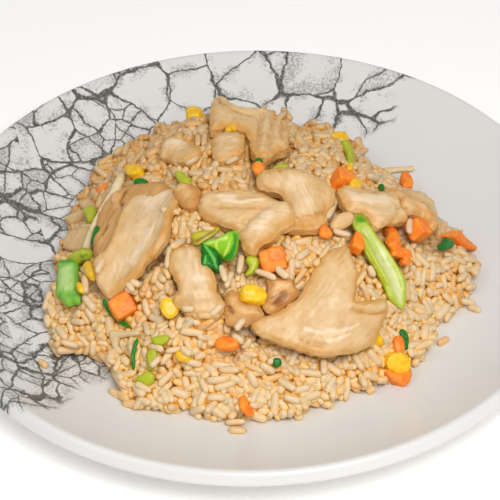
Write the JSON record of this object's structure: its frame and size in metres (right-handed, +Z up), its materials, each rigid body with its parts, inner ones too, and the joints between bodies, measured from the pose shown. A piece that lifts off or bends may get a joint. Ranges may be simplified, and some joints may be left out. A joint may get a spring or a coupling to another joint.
{
  "type": "plate of chicken fried rice",
  "caption": "Round coupe plate with a heap of fried rice, chicken slices, diced carrot, sweetcorn and greens.",
  "frame": {"origin": "on the table, under the middle of the plate", "axes": "+Z up through the plate's middle; +X and +Y across the plate, seen from -Y the front of the serving"},
  "size_m": [0.27, 0.27, 0.0648],
  "materials": {
    "plate_glaze": "gloss",
    "rice": "satin",
    "chicken": "satin",
    "chicken_brown": "satin",
    "carrot": "satin",
    "corn": "satin",
    "stalk": "satin",
    "leaf": "satin",
    "sprout": "satin"
  },
  "bodies": {
    "root": {"carrot_01": "carrot", "carrot_02": "carrot", "carrot_03": "carrot", "carrot_04": "carrot", "carrot_05": "carrot", "carrot_06": "carrot", "carrot_07": "carrot", "carrot_08": "carrot", "carrot_09": "carrot", "carrot_10": "carrot", "carrot_11": "carrot", "carrot_12": "carrot", "carrot_13": "carrot", "carrot_14": "carrot", "carrot_15": "carrot", "chicken_arch": "chicken", "chicken_back_fold": "chicken", "chicken_back_left": "chicken", "chicken_back_round": "chicken", "chicken_back_slice": "chicken", "chicken_brown_bit": "chicken_brown", "chicken_centre": "chicken", "chicken_front_fin": "chicken", "chicken_left_chunk": "chicken_brown", "chicken_left_slab": "chicken", "chicken_left_under": "chicken_brown", "chicken_mid_left": "chicken", "chicken_right": "chicken", "chicken_small_centre": "chicken", "corn_01": "corn", "corn_02": "corn", "corn_03": "corn", "corn_04": "corn", "corn_05": "corn", "corn_06": "corn", "corn_07": "corn", "corn_08": "corn", "corn_09": "corn", "corn_10": "corn", "corn_11": "corn", "herb_left_lower": "leaf", "herb_left_winding": "leaf", "leaf_back_dark": "leaf", "leaf_centre_dark": "leaf", "leaf_centre_light": "stalk", "leaf_centre_yellow": "stalk", "leaf_right_dark": "leaf", "plate": "plate_glaze", "rice_heap": "rice", "sprout_strand": "sprout", "stalk_back_bit": "stalk", "stalk_back_low": "stalk", "stalk_back_strip": "stalk", "stalk_centre_back": "stalk", "stalk_centre_front": "stalk", "stalk_front_left": "stalk", "stalk_left_arched": "stalk", "stalk_left_broad": "stalk", "stalk_right_long": "stalk"}
  },
  "joints": []
}
